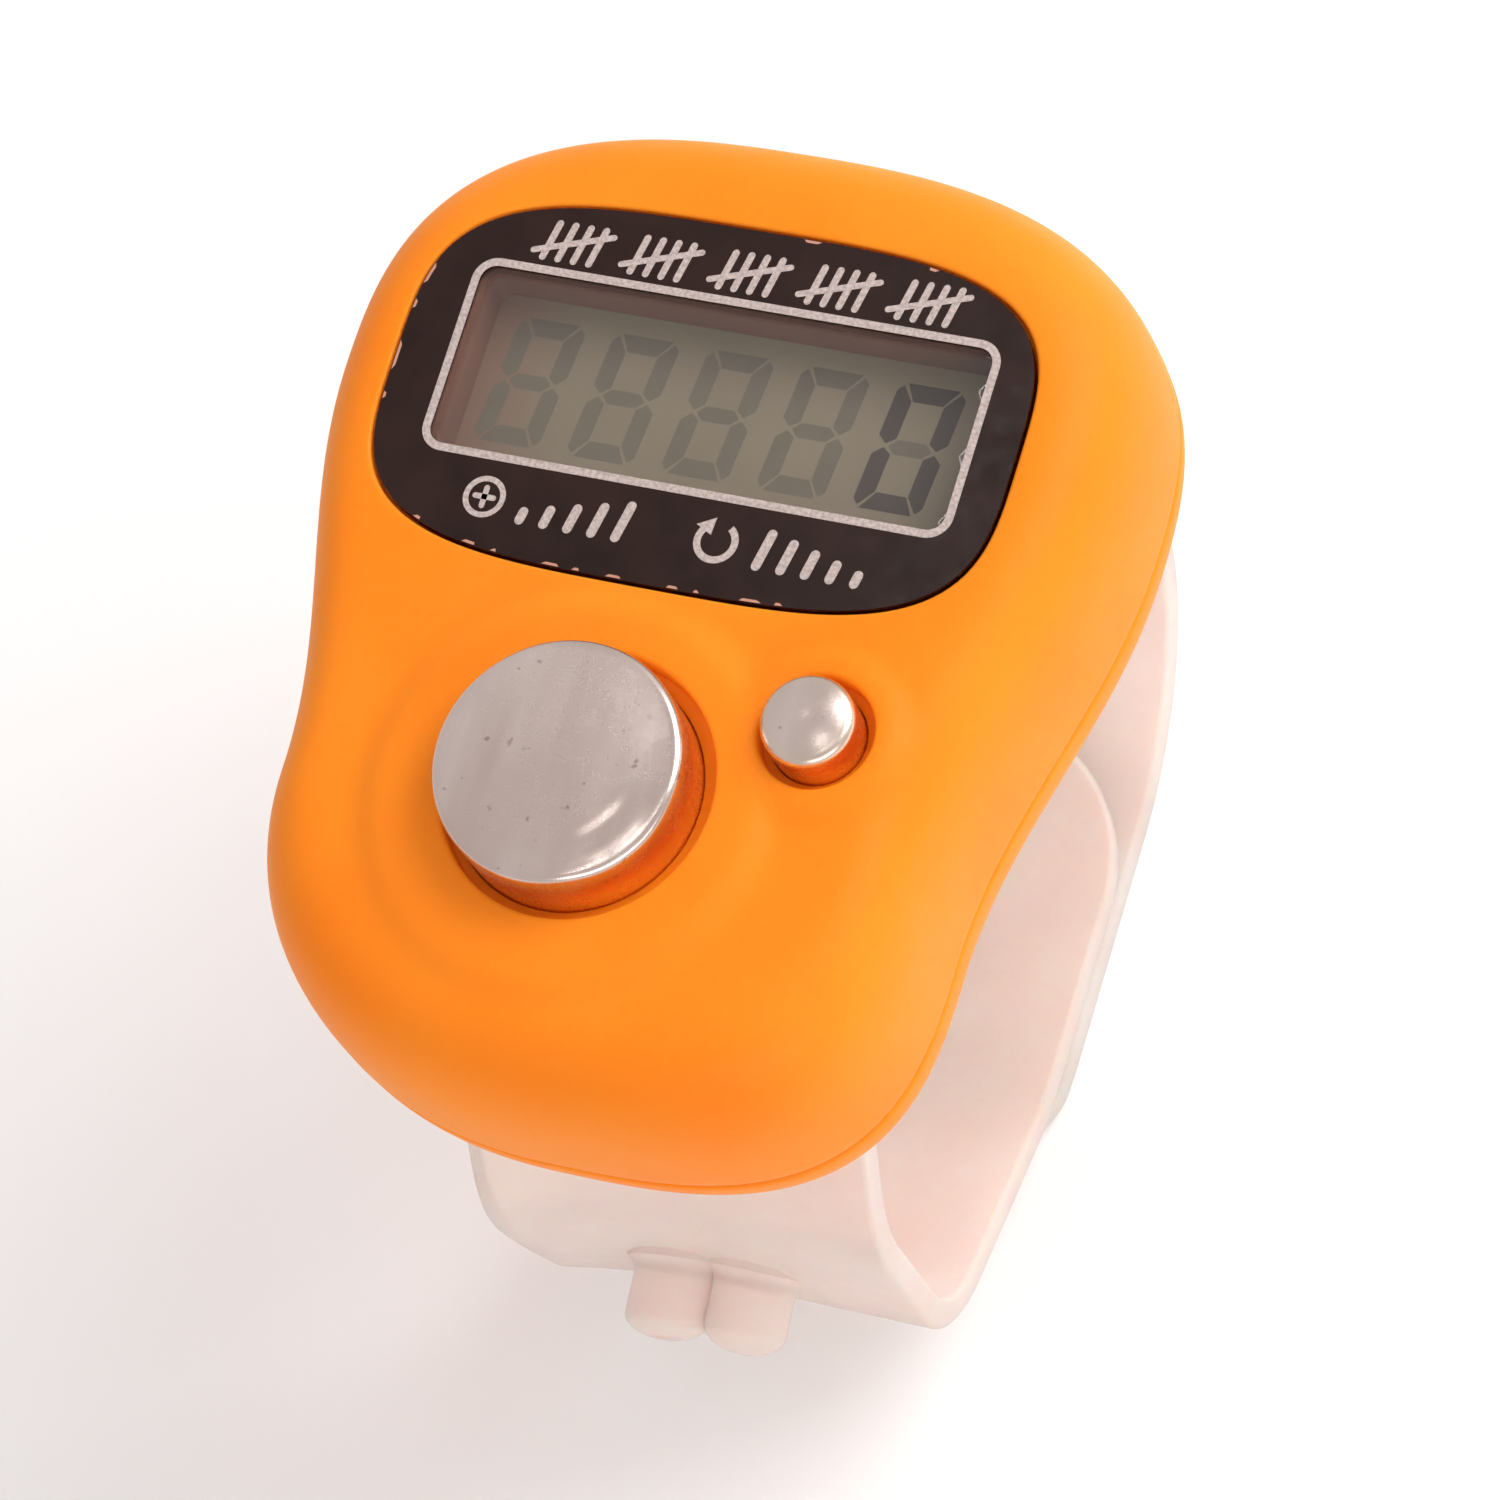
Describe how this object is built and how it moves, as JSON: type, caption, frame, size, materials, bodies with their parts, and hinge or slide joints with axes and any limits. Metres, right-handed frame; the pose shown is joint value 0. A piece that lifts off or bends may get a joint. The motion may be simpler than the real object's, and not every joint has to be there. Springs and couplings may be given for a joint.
{
  "type": "finger tally counter",
  "caption": "Electronic finger tally counter: rounded two-shell case with a digit window, a large count button, a small reset button and a soft two-part finger strap.",
  "frame": {"origin": "centre of the case's outline in X and Y, on the surface that the back of the strap rests on", "axes": "+Z out of the case's face, +Y towards the window end, +X across the case, along the wearer's finger"},
  "size_m": [0.0314, 0.039, 0.0435],
  "materials": {
    "case_plastic": "satin gloss orange moulding",
    "window_plastic": "clear polished plastic",
    "label_print": "gloss black printed film",
    "lcd_glass": "polarised display glass",
    "lcd_reflector": "matt grey-green reflector film",
    "holder_plastic": "matt white moulding",
    "zebra_rubber": "matt striped elastomer",
    "board_laminate": "green solder mask",
    "chip_epoxy": "poured black epoxy",
    "capacitor_ceramic": "fired ceramic",
    "button_chrome": "bright plated moulding",
    "dome_rubber": "matt translucent silicone",
    "pill_carbon": "matt conductive rubber",
    "cell_steel": "nickel-plated steel",
    "contact_metal": "plated spring strip",
    "screw_steel": "zinc-plated steel",
    "strap_plastic": "soft translucent moulding"
  },
  "bodies": {
    "case": {"front_shell": "case_plastic", "back_shell": "case_plastic", "window_lens": "window_plastic", "face_label": "label_print", "lcd_front_glass": "lcd_glass", "lcd_rear_glass": "lcd_glass", "lcd_reflector": "lcd_reflector", "lcd_holder": "holder_plastic", "zebra_strip": "zebra_rubber", "circuit_board": "board_laminate", "chip_blob": "chip_epoxy", "chip_capacitors": "capacitor_ceramic", "count_dome": "dome_rubber", "reset_dome": "dome_rubber", "battery_cell": "cell_steel", "negative_contact": "contact_metal", "positive_contact": "contact_metal", "case_screws": "screw_steel"},
    "count_button": {"count_button": "button_chrome", "count_pill": "pill_carbon"},
    "reset_button": {"reset_button": "button_chrome", "reset_pill": "pill_carbon"},
    "battery_door": {"battery_door": "case_plastic", "door_screw": "screw_steel"},
    "upper_strap": {"upper_strap": "strap_plastic"},
    "lower_strap": {"lower_strap": "strap_plastic"}
  },
  "joints": [
    {"name": "count_press", "type": "slide", "parent": "case", "child": "count_button", "axis": [0, 0, -1], "range_m": [0, 0.0008], "stiffness_N_per_m": 900, "deforming": ["count_dome"]},
    {"name": "reset_press", "type": "slide", "parent": "case", "child": "reset_button", "axis": [0, 0, -1], "range_m": [0, 0.0005], "stiffness_N_per_m": 900, "deforming": ["reset_dome"]},
    {"name": "upper_strap_swing", "type": "hinge", "parent": "case", "child": "upper_strap", "pos_m": [0, 0.0095, 0.0292], "axis": [1, 0, 0], "range_deg": [0, 50], "stiffness_Nm_per_rad": 0.03},
    {"name": "lower_strap_swing", "type": "hinge", "parent": "case", "child": "lower_strap", "pos_m": [0, -0.0095, 0.0292], "axis": [1, 0, 0], "range_deg": [0, 7], "stiffness_Nm_per_rad": 0.03},
    {"name": "battery_door_lift", "type": "slide", "parent": "case", "child": "battery_door", "axis": [0, 0, -1], "range_m": [0, 0.008]}
  ]
}
